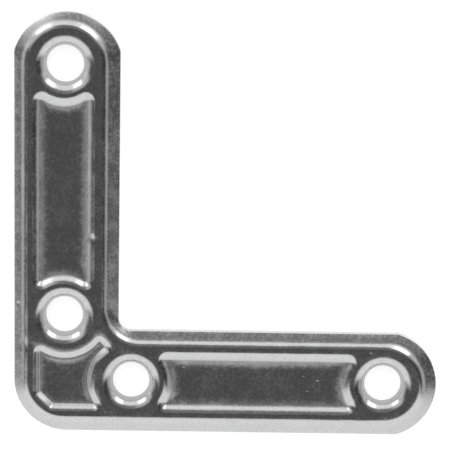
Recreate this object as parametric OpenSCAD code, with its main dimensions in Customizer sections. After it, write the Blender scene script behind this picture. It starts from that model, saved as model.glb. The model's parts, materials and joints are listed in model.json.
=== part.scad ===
// Flat corner brace: an L of pressed and plated sheet steel with a raised crest that frames
// three sunken panels and four countersunk screw holes.
//
// The origin lies where the centrelines of the two arms cross, on the face that sits on the work.
// One arm runs along +X and the other along +Y, and +Z points out of the face with the relief.

/* [Blank] */
// Length of each arm, measured over the outside of the other arm
arm_len = 60; // [52:0.5:80]
// Width of the arms
arm_w = 14.8; // [14:0.1:15.6]
// Thickness of the sheet
sheet_t = 1.1; // [0.9:0.05:1.3]
// Radius of the outer corner
corner_r = 7.5; // [5:0.1:9]
// Radius of the inner corner
inner_r = 1.7; // [0.8:0.1:2.6]
// How much the radius of an arm's end exceeds half the width of the arm
nose_ease = 0.35; // [0.05:0.05:1.2]
// Distance by which the cut outline sits beside the relief along X
cut_shift_x = 0.3; // [-0.4:0.05:0.4]
// Distance by which the cut outline sits beside the relief along Y
cut_shift_y = 0; // [-0.4:0.05:0.4]

/* [Holes] */
// Diameter of the screw holes
hole_d = 5.2; // [4.2:0.1:5.6]
// Distance of the inner hole of an arm from the crossing of the centrelines
near_hole = 9.5; // [9.3:0.1:10.5]
// Distance of the outer hole of an arm from the end of the arm
end_margin = 7.3; // [6.6:0.1:9]
// Diameter of the countersinks where their rounding leaves the top of the crest
sink_d = 8.9; // [8.6:0.1:9.1]
// Slope of a countersink at the lower end of its rounding
sink_angle = 43; // [38:1:46]
// Width of the steep ring between a hole and that rounding
lip_w = 0.7; // [0.5:0.05:0.8]
// Slope of the steep ring
lip_angle = 55; // [50:1:57]

/* [Relief] */
// Height of the rounded crest over the seat
crest_h = 2.0; // [1.9:0.05:2.1]
// Width of the border from the cut edge to the foot of the crest
border_w = 1.4; // [1.2:0.05:1.6]
// Slope of the outer side of the crest at its foot
slope_angle = 50; // [45:1:56]
// Height that the border gains from the cut edge to the foot of the crest
border_rise = 0.35; // [0.2:0.05:0.45]
// Radius of the foot of the crest round the inner corner
inner_bend_r = 4.8; // [4.2:0.1:6]

/* [Panels] */
// Distance from the cut edge to the floor of a long panel
long_inset = 4.25; // [4.1:0.05:4.5]
// Distance from the centre of a hole to the floor of the long panel beside it
long_end_r = 6.0; // [5.8:0.05:6.4]
// Distance from the cut edge to the floor of the corner panel
corner_inset = 3.95; // [3.8:0.05:4.2]
// Distance from the centre of a hole to the floor of the corner panel
corner_end_r = 6.3; // [6.1:0.05:6.4]
// Distance from the foot of the crest at the inner corner to the tip of the corner panel's finger
finger_inset = 2.95; // [2.8:0.05:3.2]
// Length that the bevel takes off the outer sides of the corner panel
corner_bevel = 1.8; // [1:0.1:2.4]
// Radius of the corners of a panel's floor
floor_r = 0.15; // [0.05:0.05:0.3]
// Slope of the panel walls at the floor
wall_angle = 57; // [52:1:62]

/* [Back] */
// Depth of the hollow behind the crest
hollow_h = 0.7; // [0.5:0.05:0.8]
// Distance by which a pressed form is wider on the back than on the front
back_step = 0.35; // [0.25:0.05:0.4]
// Width of the flat ring round a hole on the back
dimple_rim = 0.9; // [0.7:0.1:1]
// Width of the flat seat along the cut edge
seat_w = 0.8; // [0.6:0.05:1]

/* [Hidden] */
$fn = 96;

// Segments in the rounding on each side of the crest
crown_steps = 5;
// Segments round each corner of a panel
corner_steps = 6;
// Segments along each hollow side of a panel
hollow_steps = 8;
// Length by which a cut runs past the face that it opens
over = 1;

arm_half = arm_w / 2;
foot_half = arm_half - border_w;
foot_h = sheet_t + border_rise;
// Distance from the centreline to the top of the crest
crest_half = foot_half - (crest_h - foot_h) / tan(slope_angle / 2);
border_slope = border_rise / border_w;
// Farthest distance from the centreline that a cut along the border reaches
border_out = arm_half + over;
// Centre of the bend that the relief makes round the inner corner
bend_at = foot_half + inner_bend_r;
// Straight length of the inner side of an arm's relief, from that bend to the outer hole
inner_run = arm_len - arm_half - end_margin - bend_at;
far_hole = bend_at + inner_run;
arm_end = far_hole + end_margin;
nose_r = arm_half + nose_ease;
cut_shift = [cut_shift_x, cut_shift_y];

hole_r = hole_d / 2;
sink_r = sink_d / 2;
lip_r = hole_r + lip_w;
// Distances of the panels' floors from the centrelines
panel_side = arm_half - long_inset;
corner_side = arm_half - corner_inset;
// Distance of the tip of the finger's floor from the crossing of the centrelines
finger_tip = bend_at * sqrt(2) - inner_bend_r - finger_inset;
hole_places = [[0, near_hole], [0, far_hole], [near_hole, 0], [far_hole, 0]];

// Angle of v about +Z, from +X
function heading(v) = atan2(v.y, v.x);

// Smallest turn from angle a to angle b, with its sign
function turn(a, b) = (b - a + 900) % 360 - 180;

// Points of a rounded side of the crest, from its level top at p down by h to a slope.
// The side is 1 where the crest falls away along x, and -1 where it falls the other way.
function crown(p, h, slope, side) =
    let (r = h / (1 - cos(slope)))
    [
        for (i = [0 : crown_steps])
            let (angle = slope * i / crown_steps)
            p + r * [side * sin(angle), cos(angle) - 1]
    ];

// The same points from the foot up to the top
function rise(p, h, slope) =
    let (points = crown(p, h, slope, -1))
    [for (i = [crown_steps : -1 : 0]) points[i]];

// Rise of a pressed wall from the foot to the top, as [distance from the floor, height] pairs
function wall_section(foot, top) =
    let (width = (top - foot) / tan(wall_angle / 2))
    concat(
        rise([width, top], top - foot, wall_angle),
        [[width + over, top + over]]
    );

// Section of what is cut from the front along the border, with x measured from the centreline
function front_border() =
    let (outer = [border_out, foot_h - border_slope * (border_out - foot_half)])
    concat(
        [[crest_half - over, crest_h + over]],
        crown([crest_half, crest_h], crest_h - foot_h, slope_angle, 1),
        [outer, [border_out, crest_h + over]]
    );

// Section of what is kept of the back along the border, with x measured from the centreline
function back_border() =
    let (
        brow = [foot_half - back_step - hollow_h, hollow_h],
        foot = [foot_half - back_step, foot_h - sheet_t + border_slope * back_step / 2],
        seat = [arm_half - seat_w, 0]
    )
    [
        [brow.x, hollow_h + over],
        brow,
        foot,
        seat,
        [seat.x, -over],
        [border_out, -over],
        [border_out, hollow_h + over]
    ];

// Corners of a long panel's floor, grown outwards, counter-clockwise from the lower right
function long_corners(grow) =
    let (
        side = panel_side + grow,
        rise = sqrt(pow(long_end_r - grow, 2) - pow(side, 2))
    )
    [
        [side, near_hole + rise],
        [side, far_hole - rise],
        [-side, far_hole - rise],
        [-side, near_hole + rise]
    ];

// Centre of the hollow side that follows each corner of a long panel, or false for a straight side
long_centres = [false, [0, far_hole], false, [0, near_hole]];

// Corners of the corner panel's floor, grown outwards, counter-clockwise from the bevel
function corner_corners(grow) =
    let (
        side = corner_side + grow,
        r = corner_end_r - grow,
        bevel = corner_bevel + (2 - sqrt(2)) * grow,
        rise = near_hole - sqrt(pow(r, 2) - pow(side, 2)),
        tip = finger_tip + grow,
        mid = near_hole / sqrt(2),
        tip_half = mid - sqrt(pow(r, 2) - pow(tip - mid, 2)),
        tip_near = (tip - tip_half) / sqrt(2),
        tip_far = (tip + tip_half) / sqrt(2)
    )
    [
        [bevel - side, -side],
        [rise, -side],
        [tip_far, tip_near],
        [tip_near, tip_far],
        [-side, rise],
        [-side, bevel - side]
    ];

// Centre of the hollow side that follows each corner of the corner panel, or false
corner_centres = [false, [near_hole, 0], false, [0, near_hole], false, false];

// Direction away from the floor at point p of the side from a to b, hollowed about the centre
function away(a, b, centre, p) = centre ? heading(centre - p) : heading(b - a) - 90;

// Points at distance d outside a side, in the directions from one to the other about point p
function fan(p, from, to, d) =
    let (sweep = turn(from, to))
    [
        for (i = [1 : corner_steps - 1])
            let (angle = from + sweep * i / corner_steps)
            p + d * [cos(angle), sin(angle)]
    ];

// Points at distance d outside the hollow side from a to b
function hollow(a, b, centre, d) =
    let (
        from = heading(a - centre),
        sweep = turn(from, heading(b - centre)),
        r = norm(a - centre) - d
    )
    [
        for (i = [0 : hollow_steps])
            let (angle = from + sweep * i / hollow_steps)
            centre + r * [cos(angle), sin(angle)]
    ];

// Points at distance d outside the straight side from a to b
function straight(a, b, d) =
    let (shift = d * [cos(heading(b - a) - 90), sin(heading(b - a) - 90)])
    [a + shift, b + shift];

// Outline at distance d outside a floor, with every corner rounded
function outline(corners, centres, d) =
    let (count = len(corners))
    [
        for (i = [0 : count - 1])
            let (
                a = corners[i],
                b = corners[(i + 1) % count],
                c = corners[(i + 2) % count],
                next = centres[(i + 1) % count]
            )
            each concat(
                centres[i] ? hollow(a, b, centres[i], d) : straight(a, b, d),
                fan(b, away(a, b, centres[i], b), away(b, c, next, b), d)
            )
    ];

// A shape and its mirror image in the line that halves the L
module on_both_arms() {
    children();
    mirror([1, -1, 0])
        children();
}

// A section drawn with x outwards and y up, run from the origin along +Y
module run(length) {
    mirror([0, 1, 0])
        rotate([90, 0, 0])
            linear_extrude(length)
                children();
}

// A sunken panel with its leaning walls, as a solid to take out.
// Each level pairs a distance outside the floor with a height, from the lowest up.
module sunken(corners, centres, levels) {
    rings = [for (level = levels) outline(corners, centres, floor_r + level.x)];
    count = len(rings[0]);
    last = len(levels) - 1;
    polyhedron(
        points = [
            for (i = [0 : last])
                for (p = rings[i])
                    [p.x, p.y, levels[i].y]
        ],
        faces = concat(
            [[for (j = [0 : count - 1]) j]],
            [
                for (i = [0 : last - 1])
                    for (j = [0 : count - 1])
                        let (k = (j + 1) % count)
                        [i * count + j, (i + 1) * count + j, (i + 1) * count + k, i * count + k]
            ],
            [[for (j = [count - 1 : -1 : 0]) last * count + j]]
        )
    );
}

// All three panels, with their floors grown outwards
module panels(grow, levels) {
    on_both_arms()
        sunken(long_corners(grow - floor_r), long_centres, levels);
    sunken(corner_corners(grow - floor_r), corner_centres, levels);
}

// A border section run along every side of the relief
module border(section) {
    on_both_arms() {
        mirror([1, 0, 0])
            run(far_hole)
                polygon(section);
        translate([0, bend_at, 0])
            run(inner_run)
                polygon(section);
        translate([0, far_hole, 0])
            rotate_extrude(angle = 180)
                polygon(section);
    }
    rotate_extrude(angle = 90, start = 180)
        polygon(section);
    translate([bend_at, bend_at, 0])
        rotate_extrude(angle = 90, start = 180)
            polygon([for (p = section) [bend_at - p.x, p.y]]);
}

// Countersink, from the steep ring at the hole up past the crest
module sink() {
    fall = (sink_r - lip_r) * tan(sink_angle / 2);
    hole_h = crest_h - fall - lip_w * tan(lip_angle);
    rotate_extrude()
        polygon(concat(
            [[0, hole_h], [hole_r, hole_h]],
            rise([sink_r, crest_h], fall, sink_angle),
            [[sink_r + over, crest_h + over], [0, crest_h + over]]
        ));
}

// Metal round a hole that the back of a countersink presses down to the seat
module dimple() {
    rim_r = hole_r + dimple_rim;
    rotate_extrude()
        polygon([
            [0, -over],
            [rim_r, -over],
            [rim_r, 0],
            [rim_r + hollow_h, hollow_h],
            [rim_r + hollow_h, hollow_h + over],
            [0, hollow_h + over]
        ]);
}

// Outline of one arm of the blank, along +Y
module arm_outline() {
    intersection() {
        translate([-arm_half, 0])
            square([arm_w, arm_end]);
        union() {
            translate([-arm_half, 0])
                square([arm_w, arm_end - nose_r]);
            translate([0, arm_end - nose_r])
                circle(nose_r);
        }
    }
}

// Outline that the sheet is cut to
module blank_outline() {
    difference() {
        union() {
            arm_outline();
            mirror([1, -1, 0])
                arm_outline();
            translate([-arm_half, -arm_half])
                square(arm_w + inner_r);
        }
        translate([arm_half + inner_r, arm_half + inner_r])
            circle(inner_r);
        translate([arm_half + inner_r, arm_half])
            square(arm_w);
        translate([arm_half, arm_half + inner_r])
            square(arm_w);
        difference() {
            translate([-arm_half - over, -arm_half - over])
                square(corner_r + over);
            translate([corner_r - arm_half, corner_r - arm_half])
                circle(corner_r);
        }
    }
}

// Hollow that the relief leaves on the back
module back_hollow() {
    round_r = arm_half + over / 2;
    difference() {
        translate([0, 0, -over])
            linear_extrude(hollow_h + over) {
                on_both_arms() {
                    translate([-arm_half, 0])
                        square([arm_w, far_hole]);
                    translate([0, far_hole])
                        circle(round_r);
                }
                circle(round_r);
            }
        border(back_border());
        panels(back_step, concat([[0, -2 * over]], wall_section(0, hollow_h)));
        for (place = hole_places)
            translate(place)
                dimple();
    }
}

// The brace, pressed and cut from one sheet
module corner_brace() {
    color("silver")
        difference() {
            translate(cut_shift)
                linear_extrude(crest_h)
                    blank_outline();
            border(front_border());
            panels(0, wall_section(sheet_t, crest_h));
            back_hollow();
            for (place = hole_places)
                translate(place) {
                    sink();
                    translate([0, 0, -over])
                        cylinder(h = crest_h + 2 * over, r = hole_r);
                }
        }
}

corner_brace();
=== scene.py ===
import json
import math
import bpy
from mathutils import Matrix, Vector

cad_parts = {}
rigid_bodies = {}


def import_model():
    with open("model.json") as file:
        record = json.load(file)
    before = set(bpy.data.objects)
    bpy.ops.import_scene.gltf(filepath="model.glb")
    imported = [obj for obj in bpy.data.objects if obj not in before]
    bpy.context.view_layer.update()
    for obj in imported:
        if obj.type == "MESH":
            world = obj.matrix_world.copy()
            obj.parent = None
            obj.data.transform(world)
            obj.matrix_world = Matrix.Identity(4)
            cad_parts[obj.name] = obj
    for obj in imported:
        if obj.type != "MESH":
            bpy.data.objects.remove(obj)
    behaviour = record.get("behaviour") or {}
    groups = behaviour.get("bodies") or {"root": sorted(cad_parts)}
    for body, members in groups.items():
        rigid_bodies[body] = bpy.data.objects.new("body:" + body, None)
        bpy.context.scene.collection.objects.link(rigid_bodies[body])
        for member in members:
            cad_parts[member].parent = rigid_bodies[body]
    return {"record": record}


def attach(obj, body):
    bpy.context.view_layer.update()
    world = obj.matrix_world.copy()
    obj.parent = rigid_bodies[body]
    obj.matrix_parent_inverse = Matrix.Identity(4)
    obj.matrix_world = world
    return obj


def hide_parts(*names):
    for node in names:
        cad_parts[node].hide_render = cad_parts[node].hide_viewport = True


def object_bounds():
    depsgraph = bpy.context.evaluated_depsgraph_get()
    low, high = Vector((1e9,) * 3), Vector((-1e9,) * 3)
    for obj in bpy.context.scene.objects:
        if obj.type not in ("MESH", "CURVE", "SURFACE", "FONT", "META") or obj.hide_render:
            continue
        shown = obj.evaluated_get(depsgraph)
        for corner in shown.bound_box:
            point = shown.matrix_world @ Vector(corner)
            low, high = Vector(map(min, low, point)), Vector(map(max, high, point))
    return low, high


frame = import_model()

from types import SimpleNamespace

import bpy
from mathutils import Matrix, Quaternion, Vector

bl_info = {
    "name": "Flat corner brace",
    "version": (1, 0, 0),
    "blender": (4, 5, 0),
    "location": "View3D > Sidebar > Corner Brace",
    "description": "Models a pressed and plated steel corner brace, its finish and a plain studio",
    "category": "Add Mesh",
}

# The brace is modelled in millimetres and brought to metres when its mesh is closed.
MM = 0.001

# How far apart heights may be that count as one level, and as one ring of a panel's side, in
# millimetres
LEVEL = 0.001
RING = 0.0001

# Small dents and nicks in the plating: place, reach and depth, in millimetres
DENTS = (
    (3.9, 20.6, 1.8, 1.0, 0.06), (-5.4, 5.2, 1.7, 1.5, 0.05), (34.6, -1.3, 1.27, 0.35, 0.03),
    (36.0, 0.3, 1.27, 0.25, 0.03), (34.0, 0.9, 1.27, 0.25, 0.025), (-6.4, 11.1, 1.4, 0.5, 0.04),
    (43.5, 4.6, 2.0, 0.35, 0.04), (17.0, 2.0, 1.3, 0.3, 0.02), (-1.6, 26.4, 1.27, 0.25, 0.02),
)

CAD_BOX = [list(corner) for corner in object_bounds()]
SCREWS = {m["name"]: m for m in frame["record"]["mounts"] if m["kind"] == "bore"}
INNER_SCREW = SCREWS["screw_x_inner"]
OUTER_SCREW = SCREWS["screw_x_outer"]


def length(name, description, default):
    """A length property in metres."""
    return bpy.props.FloatProperty(
        name=name, description=description, default=default, min=0, unit="LENGTH", precision=5
    )


def angle(name, description, default):
    """An angle property, with its default in degrees."""
    return bpy.props.FloatProperty(
        name=name, description=description, default=math.radians(default), subtype="ANGLE"
    )


def amount(name, description, default):
    """A plain number property between 0 and 1."""
    return bpy.props.FloatProperty(
        name=name, description=description, default=default, min=0, max=1
    )


class BraceSizes(bpy.types.PropertyGroup):
    """Sizes of the brace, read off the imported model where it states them."""

    near_hole: length("Inner hole", "Distance of the inner holes from the centrelines' crossing",
                      INNER_SCREW["pos_m"][0])
    far_hole: length("Outer hole", "Distance of the outer holes from the centrelines' crossing",
                     OUTER_SCREW["pos_m"][0])
    hole_r: length("Hole radius", "Radius of the screw holes", INNER_SCREW["dims"]["r_mm"] * MM)
    crest_h: length("Crest height", "Height of the crest over the seat", CAD_BOX[1][2])
    arm_w: length("Arm width", "Width of the cut sheet across an arm", 0.0148)
    end_margin: length("End margin", "Distance from the outer hole to the end of its arm", 0.0073)
    sheet_t: length("Sheet", "Height of the sheet at the cut edge", 0.0012)
    corner_r: length("Outer corner", "Radius of the outer corner of the cut sheet", 0.0075)
    inner_r: length("Inner corner", "Radius of the inner corner of the cut sheet", 0.0017)
    nose_ease: length("End ease", "How much an end's radius exceeds half the arm's width", 0.00035)
    cut_shift: bpy.props.FloatVectorProperty(
        name="Cut shift", description="Place of the cut outline beside the relief",
        default=(0.0003, 0.0), size=2, unit="LENGTH", precision=5)
    border_w: length("Border", "Width of the border from the cut edge to the crest's foot", 0.0014)
    border_rise: length("Border rise", "Height gained from the cut edge to the foot", 0.00025)
    slope_angle: angle("Crest slope", "Slope of the outer side of the crest at its foot", 50)
    inner_bend_r: length("Inner bend", "Radius of the crest's foot at the inner corner", 0.0048)
    long_inset: length("Long inset", "Distance from the cut edge to a long panel's floor", 0.00425)
    long_end_r: length("Long end", "Distance from a hole to a long panel's floor", 0.006)
    corner_inset: length("Corner inset", "Distance from the cut edge to the corner panel's floor",
                         0.00405)
    corner_end_r: length("Corner end", "Distance from a hole to the corner panel's floor", 0.0063)
    finger_inset: length("Finger inset", "Distance from the crest's foot to the finger's tip",
                         0.00295)
    corner_bevel: length("Corner bevel", "Length the bevel takes off the corner panel", 0.0018)
    panel_side_w: length("Panel side", "Width of a panel's side from the crest's top to the floor",
                         0.00166)
    panel_narrowing: length("Panel narrowing",
                            "How much narrower the panel along Y is, on its inner side", 0.0003)
    corner_share: amount("Corner share", "Size of the corner panel's sides against the others",
                         0.86)
    back_angle: angle("Back slope", "Slope of the backs of the panels", 44)
    sink_r: length("Countersink", "Radius where a countersink rounds down from the crest", 0.00445)
    sink_angle: angle("Countersink slope", "Slope at the lower end of that rounding", 43)
    lip_w: length("Lip", "Width of the steep ring round a hole", 0.0004)
    lip_angle: angle("Lip slope", "Slope of that ring", 65)
    hollow_h: length("Hollow", "Depth of the hollow behind the crest", 0.0007)
    back_step: length("Back step", "How much wider a form is on the back", 0.00035)
    dimple_rim: length("Dimple rim", "Width of the flat ring round a hole on the back", 0.0009)
    seat_w: length("Seat", "Width of the flat seat along the cut edge", 0.0008)
    margin_rise: length("Margin rise", "Height that a panel's floor gains at its margins", 0.00015)
    edge_r: length("Edge wear", "Rounding of the cut edges", 0.00013)


class BraceFinish(bpy.types.PropertyGroup):
    """Looks of the plating and of the studio."""

    plating: bpy.props.FloatVectorProperty(
        name="Plating", description="Colour of the bright plating",
        default=(0.66, 0.66, 0.665), size=3, subtype="COLOR", min=0, max=1)
    roughness: amount("Roughness", "Roughness of the bright plating", 0.13)
    ring: bpy.props.FloatVectorProperty(
        name="Punched ring", description="Colour of the duller rings round the holes",
        default=(0.46, 0.46, 0.465), size=3, subtype="COLOR", min=0, max=1)
    waviness: amount("Waviness", "Height of the pressed sheet's slight waves in millimetres", 0.12)
    grain: amount("Grain", "Height of the plating's grain in millimetres", 0.004)
    mottle: amount("Mottle", "How much rougher the plating is where its grain is dull", 0.095)
    dulled: amount("Dulled", "How much rougher the plating is along the cut edge", 0.1)
    floor: bpy.props.FloatVectorProperty(
        name="Floor", description="Colour of the studio floor",
        default=(0.86, 0.86, 0.86), size=3, subtype="COLOR", min=0, max=1)
    floor_glow: amount("Floor glow", "Light that the white floor gives by itself", 0.62)
    target: bpy.props.FloatVectorProperty(
        name="Camera target", description="Point on the seat that the camera looks at",
        default=(0.0225, 0.02258, 0.0), size=3, unit="LENGTH", precision=5)
    distance: length("Camera distance", "Distance of the camera from its target", 0.35695)
    tilt: angle("Camera tilt", "Lean of the camera from upright towards +Y", 11.94)
    swing: angle("Camera swing", "Turn of that lean about the upright", 2.7)
    roll: angle("Camera roll", "Turn of the camera about its line of sight", 0.95)
    lens: bpy.props.FloatProperty(
        name="Lens", description="Focal length of the camera in millimetres", default=202.8, min=1)


def millimetres(sizes):
    """The sizes as plain numbers, in millimetres and radians, and what follows from them."""
    plain = SimpleNamespace()
    for name in sizes.__annotations__:
        value = getattr(sizes, name)
        if name == "cut_shift":
            plain.cut_shift = Vector(value) / MM
        elif name.endswith(("_angle", "_share")):
            setattr(plain, name, value)
        else:
            setattr(plain, name, value / MM)
    plain.arm_half = plain.arm_w / 2
    plain.arm_end = plain.far_hole + plain.end_margin
    plain.nose_r = plain.arm_half + plain.nose_ease
    plain.foot_half = plain.arm_half - plain.border_w
    plain.foot_h = plain.sheet_t + plain.border_rise
    slope_w = (plain.crest_h - plain.foot_h) / math.tan(plain.slope_angle / 2)
    plain.crest_half = plain.foot_half - slope_w
    plain.bend_at = plain.foot_half + plain.inner_bend_r
    plain.holes = [
        Vector((0, plain.near_hole)), Vector((0, plain.far_hole)),
        Vector((plain.near_hole, 0)), Vector((plain.far_hole, 0)),
    ]
    return plain


# Geometry of sections and outlines, in millimetres

def heading(v):
    """Angle of v about +Z, from +X."""
    return math.atan2(v.y, v.x)


def polar(turn, radius=1.0):
    """Vector of the given length in the given direction."""
    return Vector((math.cos(turn), math.sin(turn))) * radius


def short_turn(a, b):
    """Smallest turn from angle a to angle b, with its sign."""
    return (b - a + math.pi) % (2 * math.pi) - math.pi


def bend(a, b, c, radius, steps=6):
    """Points of the arc that rounds the corner b of the path a, b, c."""
    a, b, c = Vector(a), Vector(b), Vector(c)
    u, v = (a - b).normalized(), (c - b).normalized()
    half = math.acos(max(-1, min(1, u.dot(v)))) / 2
    middle = b + (u + v).normalized() * radius / math.sin(half)
    first = heading(b + u * radius / math.tan(half) - middle)
    sweep = short_turn(first, heading(b + v * radius / math.tan(half) - middle))
    return [middle + polar(first + sweep * i / steps, radius) for i in range(steps + 1)]


# Slopes down the two pressed sides of the crest: millimetres out from its level top, and degrees
OUTER_SIDE = (
    (0.0, 0), (0.22, 5), (0.32, 8.5), (0.43, 11.5), (0.54, 14.5), (0.65, 20), (0.75, 25),
    (0.85, 29), (1.0, 34), (1.1, 34), (1.18, 28), (1.27, 22), (1.4, 20.5), (1.58, 19),
)
PANEL_SIDE = (
    (0.0, 0), (0.14, 3.5), (0.24, 7.5), (0.34, 11), (0.44, 14), (0.65, 20.5), (0.87, 28),
    (1.08, 34), (1.24, 34), (1.34, 28), (1.45, 19), (1.56, 12), (1.72, 9), (2.0, 7), (2.35, 5),
    (2.7, 3), (3.1, 0),
)

# Where the flat fill of the crest's top ends on its sides, in millimetres out from the level top.
# The fill's rims are lowered to their true height once it is made.
STOP = 0.2
CORNER_STOP = 0.4
# How far out the side of the corner panel runs, whose floor is small
CORNER_REACH = 2.8


def pressed_side(slopes, top_h, stop=STOP, reach=math.inf):
    """Points down a side of the crest, from the stop to the reach, each as its distance out from
    the level top and its height. The first is lifted to the top's height, and its true drop is
    given with the points."""
    points, height = [], top_h
    for (t0, a0), (t1, a1) in zip(slopes, slopes[1:]):
        height -= (t1 - t0) * math.tan(math.radians(a0 + a1) / 2)
        if stop <= t1 <= reach:
            points.append((t1, height))
    sunk = top_h - points[0][1]
    points[0] = (points[0][0], top_h)
    return points, sunk


def rounded_side(top_h, drop, width, slope, stop=STOP, steps=8):
    """Points down a side that rounds to a slope, in the way of pressed_side."""
    radius = (width - drop / math.tan(slope)) / math.tan(slope / 2)
    first = math.asin(stop / radius)
    turns = [first + (slope - first) * i / steps for i in range(steps + 1)]
    points = [(radius * math.sin(a), top_h - radius * (1 - math.cos(a))) for a in turns]
    points.append((width, top_h - drop))
    sunk = top_h - points[0][1]
    points[0] = (points[0][0], top_h)
    return points, sunk


# Drawing and raising outlines in edit mode, as by hand

class Pen:
    """Draws a closed outline from a single point by extruding it and spinning it about centres."""

    def __init__(self, start, height):
        self.height = height
        self.at = Vector(start)
        bpy.ops.mesh.select_mode(type="VERT")
        bpy.ops.mesh.select_all(action="DESELECT")
        bpy.ops.mesh.primitive_plane_add(size=1, location=self.place(start))
        bpy.ops.mesh.merge(type="CENTER")

    def place(self, point):
        """The point in space."""
        return (point[0], point[1], self.height)

    def line(self, end, count):
        """Runs straight to the end in a number of steps."""
        end = Vector(end)
        move = Vector(self.place(end)) - Vector(self.place(self.at))
        for _ in range(count):
            bpy.ops.mesh.extrude_vertices_move(
                TRANSFORM_OT_translate={"value": tuple(move / count)})
        self.at = end

    def arc(self, centre, turn, steps):
        """Turns about the centre, anticlockwise when the turn is positive."""
        centre = Vector(centre)
        bpy.ops.mesh.spin(steps=steps, angle=-turn, center=self.place(centre), axis=(0, 0, 1))
        arm = self.at - centre
        self.at = centre + polar(heading(arm) + turn, arm.length)

    def close(self, face=True, up=True):
        """Joins the end to the start and, unless only a wire is wanted, fills the outline."""
        bpy.ops.mesh.select_linked()
        bpy.ops.mesh.remove_doubles(threshold=LEVEL)
        if face:
            bpy.ops.mesh.edge_face_add()
            bpy.ops.object.mode_set(mode="OBJECT")
            chosen = next(p for p in bpy.context.object.data.polygons if p.select)
            wrong = (chosen.normal.z > 0) != up
            bpy.ops.object.mode_set(mode="EDIT")
            if wrong:
                bpy.ops.mesh.flip_normals()


def inset_along(section, side=1):
    """Insets the selected face ring by ring along a section that runs inwards.
    The section pairs a distance with a height. The side is 1 for a face that looks up, or -1."""
    for (u0, z0), (u1, z1) in zip(section, section[1:]):
        bpy.ops.mesh.inset(thickness=abs(u0 - u1), depth=side * (z1 - z0), use_even_offset=True)


def open_face():
    """Takes out the selected face and keeps its edges."""
    bpy.ops.mesh.delete(type="ONLY_FACE")


def pick_rims(low, high=None, near=LEVEL):
    """Selects the open edges and loose wires that lie at one height, or between two."""
    high = low if high is None else high
    bpy.ops.mesh.select_mode(type="EDGE")
    bpy.ops.mesh.select_all(action="DESELECT")
    bpy.ops.mesh.select_non_manifold(
        extend=False, use_wire=True, use_boundary=True, use_multi_face=False,
        use_non_contiguous=False, use_verts=False)
    bpy.ops.object.mode_set(mode="OBJECT")
    mesh = bpy.context.object.data
    for edge in mesh.edges:
        inside = all(low - near <= mesh.vertices[i].co.z <= high + near for i in edge.vertices)
        edge.select = edge.select and inside
    bpy.ops.object.mode_set(mode="EDIT")


def fill_level(height):
    """Fills the flat between all the open rims at one height."""
    pick_rims(height)
    bpy.ops.mesh.fill(use_beauty=True)


def name_rim(name, height):
    """Puts the open rim at a height into a vertex group, to be found once it is filled."""
    pick_rims(height)
    bpy.ops.object.vertex_group_assign_new()
    bpy.context.object.vertex_groups.active.name = name


def lower_rim(name, drop):
    """Lowers the rim of a vertex group from the level of the fill to its true height."""
    bpy.ops.mesh.select_mode(type="VERT")
    bpy.ops.mesh.select_all(action="DESELECT")
    bpy.ops.object.vertex_group_set_active(group=name)
    bpy.ops.object.vertex_group_select()
    bpy.ops.transform.translate(value=(0, 0, -drop))


# Outlines of the brace

# Steps in the drawn arcs and lines
ARC_STEPS = 24
OUTER_STEPS = 30
INNER_STEPS = 24
HOLLOW_STEPS = 20
LINE_STEPS = 14
TURN_STEPS = 8
HOLE_STEPS = 96
EDGE_STEPS = 3
# Radius of a panel outline's corners where it follows its floor's own outline, in millimetres
CORNER = 0.008
# Half the width that the tip of the corner panel's finger keeps once its floor has closed up there,
# in millimetres
TIP_HALF = 0.06
# Radii of small bends, in millimetres: at the back's foot and at both ends of a hole's steep ring
BACK_BEND = 0.3
LIP_BEND = 0.2
MOUTH_BEND = 0.06
# Narrow ledge that keeps a filled flat off the wall beside it, in millimetres
LEDGE = 0.05
# Where the backs of the panels start to round, in millimetres, and their mean slope as a share of
# the steepest
BACK_STOP = 0.35
BACK_MEAN = 0.65
# Edges that are rounded as cut edges, and edges that are shaded smooth, in degrees between faces
CUT_EDGE = 70
SMOOTH_EDGE = 30


def relief_outline(s, half, height, up):
    """The outline of the relief at a distance from the centrelines."""
    pen = Pen((-half, 0), height)
    pen.arc((0, 0), math.pi / 2, ARC_STEPS)
    pen.line((s.far_hole, -half), OUTER_STEPS)
    pen.arc((s.far_hole, 0), math.pi, 2 * ARC_STEPS)
    pen.line((s.bend_at, half), INNER_STEPS)
    pen.arc((s.bend_at, s.bend_at), -math.pi / 2, ARC_STEPS)
    pen.line((half, s.far_hole), INNER_STEPS)
    pen.arc((0, s.far_hole), math.pi, 2 * ARC_STEPS)
    pen.line((-half, 0), OUTER_STEPS)
    pen.close(up=up)


def cut_outline(s, height):
    """The outline that the sheet is cut to, as a wire with as many points as the relief's."""
    half, end = s.arm_half, s.arm_end - s.nose_r
    lean = math.acos(half / s.nose_r)
    shoulder = end + s.nose_r * math.sin(lean)
    round_at, turn_at = s.corner_r - half, half + s.inner_r
    shift = s.cut_shift
    pen = Pen(Vector((-half, round_at)) + shift, height)
    pen.arc(Vector((round_at, round_at)) + shift, math.pi / 2, ARC_STEPS)
    pen.line(Vector((shoulder, -half)) + shift, OUTER_STEPS)
    pen.arc(Vector((end, 0)) + shift, math.pi - 2 * lean, 2 * ARC_STEPS)
    pen.line(Vector((turn_at, half)) + shift, INNER_STEPS)
    pen.arc(Vector((turn_at, turn_at)) + shift, -math.pi / 2, ARC_STEPS)
    pen.line(Vector((half, shoulder)) + shift, INNER_STEPS)
    pen.arc(Vector((0, end)) + shift, math.pi - 2 * lean, 2 * ARC_STEPS)
    pen.line(Vector((-half, round_at)) + shift, OUTER_STEPS)
    pen.close(face=False)


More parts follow.
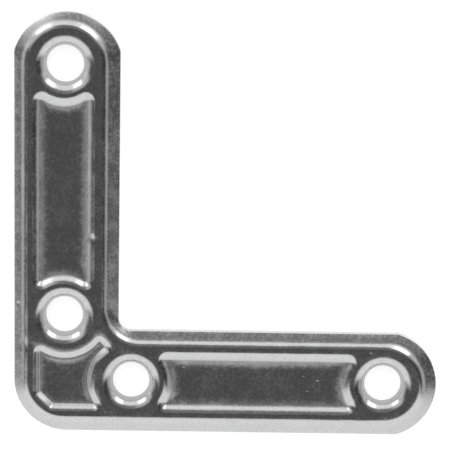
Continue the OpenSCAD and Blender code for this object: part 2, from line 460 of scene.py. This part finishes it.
def long_floor(s, grow):
    """Corners of a long panel's floor, and the centre of the hollow side after each."""
    side = s.arm_half - s.long_inset + grow
    radius = s.long_end_r - grow
    rise = math.sqrt(radius ** 2 - side ** 2)
    low, high = s.near_hole + rise, s.far_hole - rise
    corners = [(side, low), (side, high), (-side, high), (-side, low)]
    centres = [None, (0, s.far_hole), None, (0, s.near_hole)]
    return corners, centres


def corner_floor(s, grow):
    """Corners of the corner panel's floor, and the centre of the hollow side after each."""
    side = s.arm_half - s.corner_inset + grow
    radius = s.corner_end_r - grow
    bevel = s.corner_bevel + (2 - math.sqrt(2)) * grow
    rise = s.near_hole - math.sqrt(radius ** 2 - side ** 2)
    tip = s.bend_at * math.sqrt(2) - s.inner_bend_r - s.finger_inset + grow
    middle = s.near_hole / math.sqrt(2)
    tip_half = middle - math.sqrt(radius ** 2 - (tip - middle) ** 2)
    if tip_half < TIP_HALF:
        tip_half = TIP_HALF
        tip = middle - math.sqrt(radius ** 2 - (middle - tip_half) ** 2)
    near, far = (tip - tip_half) / math.sqrt(2), (tip + tip_half) / math.sqrt(2)
    corners = [
        (bevel - side, -side), (rise, -side), (far, near),
        (near, far), (-side, rise), (-side, bevel - side),
    ]
    centres = [None, (s.near_hole, 0), None, (0, s.near_hole), None, None]
    return corners, centres


def panel_outline(floor, out, height, face=True, up=True):
    """A panel's outline at a distance outside its floor, rounded about the floor's corners."""
    corners, centres = floor
    corners = [Vector(c) for c in corners]
    count = len(corners)

    def away(i, point):
        centre = centres[i]
        if centre:
            return heading(Vector(centre) - point)
        return heading(corners[(i + 1) % count] - corners[i]) - math.pi / 2

    pen = Pen(corners[0] + polar(away(0, corners[0]), out), height)
    for i in range(count):
        here, there = corners[i], corners[(i + 1) % count]
        if centres[i]:
            centre = Vector(centres[i])
            sweep = short_turn(heading(here - centre), heading(there - centre))
            pen.arc(centre, sweep, HOLLOW_STEPS)
        else:
            pen.line(there + polar(away(i, there), out), LINE_STEPS)
        turn = short_turn(away(i, there), away((i + 1) % count, there))
        pen.arc(there, turn, TURN_STEPS)
    pen.close(face, up)


# The brace

def press_border(s):
    """The border and the outer side of the crest on both faces, with the cut edge between them.
    Gives the true drop of its rim."""
    side, sunk = pressed_side(OUTER_SIDE, s.crest_h)
    side = [(s.crest_half + t, z) for t, z in reversed(side)]
    outer = side[0]
    relief_outline(s, outer[0], outer[1], True)
    inset_along(side)
    open_face()
    name_rim("border_rim", s.crest_h)

    cut_outline(s, s.sheet_t)
    pick_rims(s.sheet_t, outer[1])
    bpy.ops.mesh.bridge_edge_loops()
    pick_rims(s.sheet_t)
    bpy.ops.mesh.extrude_edges_move(TRANSFORM_OT_translate={"value": (0, 0, -s.sheet_t)})

    seat = (s.arm_half - s.seat_w, 0)
    foot = (s.foot_half - s.back_step, s.foot_h - s.sheet_t)
    brow = (foot[0] - s.hollow_h, s.hollow_h)
    relief_outline(s, seat[0], seat[1], False)
    inset_along([seat] + bend(seat, foot, brow, BACK_BEND) + [brow], -1)
    open_face()
    pick_rims(0)
    bpy.ops.mesh.bridge_edge_loops()
    return sunk


def press_panel(s, name, floor_of, stop=STOP, reach=math.inf, share=1.0):
    """A sunken panel: its wall on the front, with a dished floor, and its boss on the back.
    The share makes the wall smaller in width and depth alike. Gives the true drop of its rim."""
    side, sunk = pressed_side(PANEL_SIDE, s.crest_h, stop, reach)
    side = [((s.panel_side_w - t) * share, s.crest_h - (s.crest_h - z) * share) for t, z in side]
    wall = [p for p in side if p[0] > 2 * CORNER]
    panel_outline(floor_of(s, 0), wall[0][0], s.crest_h)
    inset_along(wall)
    open_face()
    name_rim(name, s.crest_h)
    last = wall[-1][1]
    for out, height in side[len(wall):]:
        panel_outline(floor_of(s, out), CORNER, height, face=False)
        pick_rims(height, last, RING)
        bpy.ops.mesh.bridge_edge_loops()
        last = height
    pick_rims(last, near=RING)
    bpy.ops.mesh.edge_face_add()

    wall_w = s.hollow_h / math.tan(s.back_angle * BACK_MEAN)
    side, _ = rounded_side(s.hollow_h, s.hollow_h, wall_w, s.back_angle, BACK_STOP, 4)
    wall = [(wall_w - t, z) for t, z in side]
    wall[-1] = (LEDGE, 0)
    panel_outline(floor_of(s, s.back_step), wall[0][0], s.hollow_h, up=False)
    inset_along(wall, -1)
    return sunk * share


def press_hole(s):
    """A countersunk hole: rounding, steep ring, bore, flat ring on the back and wall up to the
    hollow. Gives the true drop of its rim."""
    lip_r = s.hole_r + s.lip_w
    fall = (s.sink_r - lip_r) * math.tan(s.sink_angle / 2)
    side, sunk = rounded_side(s.crest_h, fall, s.sink_r - lip_r, s.sink_angle)
    side = [(s.sink_r - t, z) for t, z in side[:-1]]
    lip = side[-1]
    mouth = (s.hole_r, lip[1] - s.lip_w * math.tan(s.lip_angle))
    bore = (s.hole_r, 0)
    rim = (s.hole_r + s.dimple_rim, 0)
    top = (rim[0] + s.hollow_h, s.hollow_h)
    section = (
        side[:-1] + bend(side[-2], lip, mouth, LIP_BEND, 2) + bend(lip, mouth, bore, MOUTH_BEND, 3)
        + [bore, rim, top, (top[0] + LEDGE, top[1])]
    )
    bpy.ops.mesh.primitive_circle_add(
        vertices=HOLE_STEPS, radius=section[0][0], fill_type="NOTHING",
        location=(0, 0, section[0][1]))
    bpy.ops.mesh.select_mode(type="EDGE")
    for (r0, z0), (r1, z1) in zip(section, section[1:]):
        bpy.ops.mesh.extrude_edges_move(TRANSFORM_OT_translate={"value": (0, 0, z1 - z0)})
        bpy.ops.transform.resize(value=(r1 / r0, r1 / r0, 1), center_override=(0, 0, z1))
    name_rim("hole_rim", s.crest_h)
    return sunk


def start_piece(name):
    """An empty mesh object, open in edit mode."""
    bpy.ops.object.select_all(action="DESELECT")
    bpy.ops.mesh.primitive_plane_add(size=1)
    bpy.context.object.name = name
    bpy.ops.object.mode_set(mode="EDIT")
    bpy.ops.mesh.delete(type="VERT")
    return bpy.context.object


def select_alone(piece):
    """Selects one piece and makes it the active one."""
    bpy.ops.object.select_all(action="DESELECT")
    piece.select_set(True)
    bpy.context.view_layer.objects.active = piece


def copy_piece(piece):
    """A copy of a piece with its own mesh, selected alone."""
    select_alone(piece)
    bpy.ops.object.duplicate()
    return bpy.context.object


def press_brace(s):
    """The whole brace as one closed mesh, in millimetres."""
    sunk = {}
    brace = start_piece("pressed_brace")
    sunk["border_rim"] = press_border(s)
    bpy.ops.object.mode_set(mode="OBJECT")

    # One long panel is drawn on the arm along Y and copied to the arm along X.
    panel = start_piece("long_panel")
    sunk["long_rim"] = press_panel(s, "long_rim", long_floor)
    bpy.ops.object.mode_set(mode="OBJECT")
    other_panel = copy_piece(panel)
    bpy.ops.transform.rotate(value=math.pi / 2, orient_axis="Z", center_override=(0, 0, 0))
    select_alone(panel)
    side = s.arm_half - s.long_inset + s.panel_side_w
    bpy.ops.transform.resize(
        value=(1 - s.panel_narrowing / (2 * side), 1, 1), center_override=(-side, 0, 0))

    corner_panel = start_piece("corner_panel")
    sunk["corner_rim"] = press_panel(
        s, "corner_rim", corner_floor, CORNER_STOP, CORNER_REACH, s.corner_share)
    bpy.ops.object.mode_set(mode="OBJECT")

    hole = start_piece("screw_hole")
    sunk["hole_rim"] = press_hole(s)
    bpy.ops.object.mode_set(mode="OBJECT")
    holes = [hole] + [copy_piece(hole) for _ in s.holes[1:]]
    for piece, place in zip(holes, s.holes):
        piece.location = (place.x, place.y, 0)

    bpy.ops.object.select_all(action="DESELECT")
    for piece in [brace, panel, other_panel, corner_panel] + holes:
        piece.select_set(True)
    bpy.context.view_layer.objects.active = brace
    bpy.ops.object.join()
    bpy.ops.object.mode_set(mode="EDIT")
    # The rims meet in two flats, and those on the crest then go down to their true height.
    fill_level(s.crest_h)
    fill_level(s.hollow_h)
    for name, drop in sunk.items():
        lower_rim(name, drop)
    bpy.ops.mesh.select_mode(type="VERT")
    bpy.ops.mesh.select_all(action="SELECT")
    bpy.ops.mesh.remove_doubles(threshold=2 * CORNER)
    bpy.ops.mesh.select_all(action="SELECT")
    bpy.ops.mesh.normals_make_consistent(inside=False)
    bpy.ops.mesh.select_mode(type="EDGE")
    bpy.ops.mesh.select_all(action="DESELECT")
    bpy.ops.mesh.edges_select_sharp(sharpness=math.radians(CUT_EDGE))
    bpy.ops.mesh.bevel(offset=s.edge_r, segments=EDGE_STEPS, affect="EDGES")
    bpy.ops.mesh.select_all(action="SELECT")
    bpy.ops.transform.resize(value=(MM, MM, MM), center_override=(0, 0, 0))
    bpy.ops.object.mode_set(mode="OBJECT")
    return brace


def from_middle(s, x, y):
    """Distance of a point of the relief from the centrelines, rounded as the crest is."""
    if x < 0 or y < 0:
        nearest = math.hypot(min(x, 0), min(y, 0))
    else:
        nearest = s.bend_at - math.hypot(max(s.bend_at - x, 0), max(s.bend_at - y, 0))
    if max(x, y) > s.far_hole:
        nearest = math.hypot(max(x, y) - s.far_hole, min(x, y))
    elif x > s.bend_at or y > s.bend_at:
        nearest = max(nearest, abs(min(x, y)))
    return nearest


# How far inside the crest's foot the dull band along the cut edge starts, in millimetres
NEAR_FOOT = 0.02
# How fast the dull margins of the panels' floors set in, and how dull they are against that band
MARGIN_GAIN = 1.6
MARGIN_DULL = 2.0


def mark_dull(brace, s):
    """Marks where the tool left the plating duller: the band along the cut edge, and the margins of
    the panels' floors, fading out with the floor's curve."""
    depth = s.crest_h - pressed_side(PANEL_SIDE, s.crest_h)[0][-1][1]
    marks = brace.data.attributes.new("dull", "FLOAT", "POINT")
    for vertex in brace.data.vertices:
        x, y, z = vertex.co / MM
        off_holes = min((Vector((x, y)) - hole).length for hole in s.holes) > s.sink_r
        dull = 0.0
        if from_middle(s, x, y) > s.foot_half - NEAR_FOOT:
            dull = 1.0
        elif off_holes and z > s.sheet_t:
            share = s.corner_share if max(x, y) < s.near_hole else 1.0
            rise = (z - s.crest_h + depth * share) / (s.margin_rise * share)
            dull = max(0.0, min(MARGIN_GAIN * rise, 1.0, 2.0 - rise)) * MARGIN_DULL
        marks.data[vertex.index].value = dull


# Finish

class Value:
    """A socket with arithmetic: an expression on values adds its Math nodes."""

    def __init__(self, wires, socket):
        self.wires, self.socket = wires, socket

    def output(self, index):
        """Another output of the same node."""
        return Value(self.wires, self.socket.node.outputs[index])

    def __add__(self, other):
        return self.wires.maths("ADD", self, other)

    def __sub__(self, other):
        return self.wires.maths("SUBTRACT", self, other)

    def __rsub__(self, other):
        return self.wires.maths("SUBTRACT", other, self)

    def __mul__(self, other):
        return self.wires.maths("MULTIPLY", self, other)

    def __truediv__(self, other):
        return self.wires.maths("DIVIDE", self, other)

    __radd__ = __add__
    __rmul__ = __mul__


class Wires:
    """Adds nodes to a node tree and links them."""

    def __init__(self, tree):
        self.tree = tree
        tree.nodes.clear()

    def put(self, socket, value):
        """Links a value to a socket, or sets the socket to a constant."""
        if isinstance(value, Value):
            self.tree.links.new(value.socket, socket)
        else:
            socket.default_value = value

    def node(self, kind, settings=None, sockets=None, output=0):
        """A node of a type, with its settings and then the values or links of its sockets."""
        node = self.tree.nodes.new(kind)
        for name, value in (settings or {}).items():
            setattr(node, name, value)
        for name, value in (sockets or {}).items():
            self.put(node.inputs[name], value)
        return Value(self, node.outputs[output]) if len(node.outputs) else node

    def maths(self, operation, a, b=0.0):
        """A Math node on one or two values."""
        return self.node("ShaderNodeMath", {"operation": operation}, {0: a, 1: b})

    def ramp(self, value, low, high):
        """Nothing up to a low value and one from a high value on, with a smooth rise between."""
        return self.node(
            "ShaderNodeMapRange", {"interpolation_type": "SMOOTHSTEP"},
            {"Value": value, "From Min": low, "From Max": high})

    def band(self, value, low, high, soft):
        """One between two limits and nothing outside them, with a soft edge at each."""
        return self.ramp(value, low - soft / 2, low + soft / 2) * (
            1.0 - self.ramp(value, high - soft / 2, high + soft / 2))

    def mix(self, factor, a, b):
        """A colour between two colours."""
        return self.node(
            "ShaderNodeMix", {"data_type": "RGBA"}, {0: factor, 6: a, 7: b}, output=2)


# Scales of the plating's grain, of its clouds and of the sheet's waves, as spots per metre
GRAIN_SCALE = 2600
CLOUD_SCALE = 420
WAVE_SCALE = 240
# Tone of the plating where it is dullest, and extra roughness of the punched rings round the holes
DULL_TONE = 0.88
PUNCHED_DULL = 0.2
# Where the dull finish of such a ring fades out, in millimetres about its edge
RING_FADE = (-0.06, 0.03)
# Patterns of clouds and grain, for the plating's tone and for its roughness: the clouds' share, and
# the range over which each comes up
TONE_PATTERN = (0.35, 0.35, 0.6)
ROUGH_PATTERN = (0.4, 0.45, 0.62)


def plating_material(look, s):
    """Bright plating on pressed steel, with a fine mottled grain, slight waves and small dents.
    It is duller on the steep rings that the punch left round the holes and where it is marked."""
    material = bpy.data.materials.new("plated_steel")
    material.use_nodes = True
    w = Wires(material.node_tree)
    place = w.node("ShaderNodeTexCoord", output="Object")

    def noise(scale, detail, rough):
        return w.node("ShaderNodeTexNoise", None,
                      {"Vector": place, "Scale": scale, "Detail": detail, "Roughness": rough})

    def pattern(share, low, high):
        return w.ramp(cloud * share + grain * (1 - share), low, high)

    flat = w.node("ShaderNodeVectorMath", {"operation": "MULTIPLY"},
                  {0: place, 1: (1.0, 1.0, 0.0)})
    nearest = None
    for hole in s.holes:
        away = w.node("ShaderNodeVectorMath", {"operation": "DISTANCE"},
                      {0: flat, 1: (hole.x * MM, hole.y * MM, 0.0)}, output=1)
        nearest = away if nearest is None else w.maths("MINIMUM", nearest, away)
    lip_r = s.hole_r + s.lip_w
    punched = 1.0 - w.ramp(nearest, (lip_r + RING_FADE[0]) * MM, (lip_r + RING_FADE[1]) * MM)

    grain = noise(GRAIN_SCALE, 3, 0.6)
    cloud = noise(CLOUD_SCALE, 4, 0.6)
    waves = noise(WAVE_SCALE, 1, 0.4)
    bright = tuple(look.plating) + (1.0,)
    faded = tuple(c * DULL_TONE for c in look.plating) + (1.0,)
    ring = tuple(look.ring) + (1.0,)
    tone = pattern(*TONE_PATTERN)
    dull = w.node("ShaderNodeAttribute", {"attribute_name": "dull"}, output=2)
    mottled = pattern(*ROUGH_PATTERN)
    gloss = look.roughness + look.mottle * mottled + dull * look.dulled + punched * PUNCHED_DULL
    height = waves * look.waviness + grain * look.grain
    for x, y, z, reach, depth in DENTS:
        away = w.node("ShaderNodeVectorMath", {"operation": "DISTANCE"},
                      {0: place, 1: (x * MM, y * MM, z * MM)}, output=1)
        height = height - (1.0 - w.ramp(away, 0.0, reach * MM)) * depth
    bump = w.node("ShaderNodeBump", None, {"Strength": 1.0, "Distance": MM, "Height": height})
    shader = w.node("ShaderNodeBsdfPrincipled", None, {
        "Base Color": w.mix(punched, w.mix(tone, faded, bright), ring), "Metallic": 1.0,
        "Roughness": gloss, "Normal": bump})
    w.node("ShaderNodeOutputMaterial", None, {"Surface": shader})
    return material


def floor_material(look):
    """Plain matt white."""
    material = bpy.data.materials.new("studio_floor")
    material.use_nodes = True
    w = Wires(material.node_tree)
    shader = w.node("ShaderNodeBsdfPrincipled", None, {
        "Base Color": tuple(look.floor) + (1.0,), "Roughness": 0.9, "Specular IOR Level": 0.1,
        "Emission Color": (1.0, 1.0, 1.0, 1.0), "Emission Strength": look.floor_glow})
    w.node("ShaderNodeOutputMaterial", None, {"Surface": shader})
    return material


# Studio

# The studio's lights. Each runs between two directions about the upright from +X, with edges of a
# given softness, and comes up between two leans from the upright, all in degrees, to its strength.
LIGHTS = (
    # Front
    (-154, -30, 16, 21, 44, 0.9),
    # Back, with a soft box to its right and to its left, and the spill of the left one
    (62, 118, 10, 32, 44, 0.8),
    (37, 64, 8, 30, 42, 1.7),
    (119, 143, 8, 38, 47, 1.4),
    (116, 166, 14, 12, 27, 0.48),
    # Right
    (16, 40, 14, 30, 50, 0.35),
    (-28, 26, 16, 46, 70, 0.42),
    # Left, up to the seam of the directions and on from it
    (159, 400, 18, 44, 64, 0.32),
    (159, 400, 18, 60, 82, 0.42),
    (-400, -158, 16, 44, 64, 0.32),
    (-400, -158, 16, 60, 82, 0.42),
)
# The dark card round the camera: its level, what it gains towards the back, and how much darker it
# is on the right
CARD = 0.1
CARD_BACK = 0.11
CARD_SHADE = 0.45
# Least distance of a direction from the upright, so that nothing is divided by zero
LEAST_REACH = 0.001


def light_world():
    """Soft studio surroundings: white in front and behind, a soft box to either side of the back,
    dim to the left and right, and a dark card round the camera."""
    world = bpy.data.worlds.new("studio")
    bpy.context.scene.world = world
    world.use_nodes = True
    w = Wires(world.node_tree)
    direction = w.node("ShaderNodeTexCoord", output="Generated")
    axes = w.node("ShaderNodeSeparateXYZ", None, {0: direction})
    x, y, z = (axes.output(i) for i in range(3))
    reach = w.maths("MAXIMUM", w.maths("SQRT", x * x + y * y), LEAST_REACH)
    zenith = w.maths("ARCTAN2", reach, z) * math.degrees(1)
    azimuth = w.maths("ARCTAN2", y, x) * math.degrees(1)
    shade = CARD_SHADE * w.band(azimuth, -34, 10, 14) * w.band(zenith, 18, 50, 10)
    level = CARD + CARD_BACK * w.ramp(y / reach, 0.0, 0.7) * w.ramp(zenith, 8, 14)
    level = level * (1.0 - shade)
    for start, end, soft, low, high, strength in LIGHTS:
        level = level + strength * w.band(azimuth, start, end, soft) * w.ramp(zenith, low, high)
    grey = w.node("ShaderNodeCombineColor", None, {"Red": level, "Green": level, "Blue": level})
    lamp = w.node("ShaderNodeBackground", None, {"Color": grey, "Strength": 1.0})
    w.node("ShaderNodeOutputWorld", None, {"Surface": lamp})


# Side of the studio floor, and how far it lies under the seat so that the two don't meet, in metres
FLOOR_SIDE = 4
FLOOR_DROP = 0.00002


def set_camera(look):
    """The camera at the photograph's viewing angle."""
    target = Vector(look.target)
    lean = Vector((-math.sin(look.swing) * math.sin(look.tilt),
                   math.cos(look.swing) * math.sin(look.tilt), math.cos(look.tilt)))
    data = bpy.data.cameras.new("camera")
    data.sensor_width = 36
    data.lens = look.lens
    data.clip_start, data.clip_end = 0.01, 10
    camera = bpy.data.objects.new("camera", data)
    bpy.context.collection.objects.link(camera)
    camera.location = target + lean * look.distance
    right = Vector((0, 1, 0)).cross(lean).normalized()
    up = lean.cross(right)
    camera.rotation_mode = "QUATERNION"
    turn = Quaternion(lean, look.roll)
    right.rotate(turn)
    up.rotate(turn)
    camera.rotation_quaternion = Matrix((right, up, lean)).transposed().to_quaternion()
    bpy.context.scene.camera = camera


class CORNER_BRACE_OT_pressed_sheet(bpy.types.Operator):
    """Model the pressed sheet of the brace"""

    bl_idname = "corner_brace.pressed_sheet"
    bl_label = "Pressed Sheet"

    def execute(self, context):
        sizes = millimetres(context.scene.brace_sizes)
        brace = press_brace(sizes)
        mark_dull(brace, sizes)
        sides = sum(len(polygon.vertices) for polygon in brace.data.polygons)
        open_edges = 2 * len(brace.data.edges) - sides
        if open_edges:
            raise RuntimeError("the brace isn't closed: %d" % open_edges)
        bpy.ops.object.shade_smooth_by_angle(angle=math.radians(SMOOTH_EDGE))
        brace.data.materials.append(plating_material(context.scene.brace_finish, sizes))
        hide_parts("corner_brace")
        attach(brace, "root")
        return {"FINISHED"}


class CORNER_BRACE_OT_stage(bpy.types.Operator):
    """Lay the floor, light the studio and set the camera"""

    bl_idname = "corner_brace.stage"
    bl_label = "Studio"

    def execute(self, context):
        look = context.scene.brace_finish
        bpy.ops.object.select_all(action="DESELECT")
        bpy.ops.mesh.primitive_plane_add(size=FLOOR_SIDE, location=(0, 0, -FLOOR_DROP))
        floor = context.object
        floor.name = "studio_floor"
        floor.data.materials.append(floor_material(look))
        light_world()
        set_camera(look)
        context.scene.view_settings.view_transform = "Standard"
        return {"FINISHED"}


class VIEW3D_PT_corner_brace(bpy.types.Panel):
    """Sidebar panel that lists the brace's operators and values"""

    bl_label = "Corner Brace"
    bl_idname = "VIEW3D_PT_corner_brace"
    bl_space_type = "VIEW_3D"
    bl_region_type = "UI"
    bl_category = "Corner Brace"

    def draw(self, context):
        layout = self.layout
        layout.operator(CORNER_BRACE_OT_pressed_sheet.bl_idname)
        layout.operator(CORNER_BRACE_OT_stage.bl_idname)
        for group in (context.scene.brace_sizes, context.scene.brace_finish):
            column = layout.column()
            for name in group.__annotations__:
                column.prop(group, name)


CLASSES = (
    BraceSizes, BraceFinish, CORNER_BRACE_OT_pressed_sheet, CORNER_BRACE_OT_stage,
    VIEW3D_PT_corner_brace,
)


def register():
    for cls in CLASSES:
        bpy.utils.register_class(cls)
    bpy.types.Scene.brace_sizes = bpy.props.PointerProperty(type=BraceSizes)
    bpy.types.Scene.brace_finish = bpy.props.PointerProperty(type=BraceFinish)


def unregister():
    del bpy.types.Scene.brace_finish
    del bpy.types.Scene.brace_sizes
    for cls in reversed(CLASSES):
        bpy.utils.unregister_class(cls)


def main():
    """Models the brace and the studio."""
    register()
    bpy.ops.corner_brace.pressed_sheet()
    bpy.ops.corner_brace.stage()


if __name__ == "__main__":
    main()
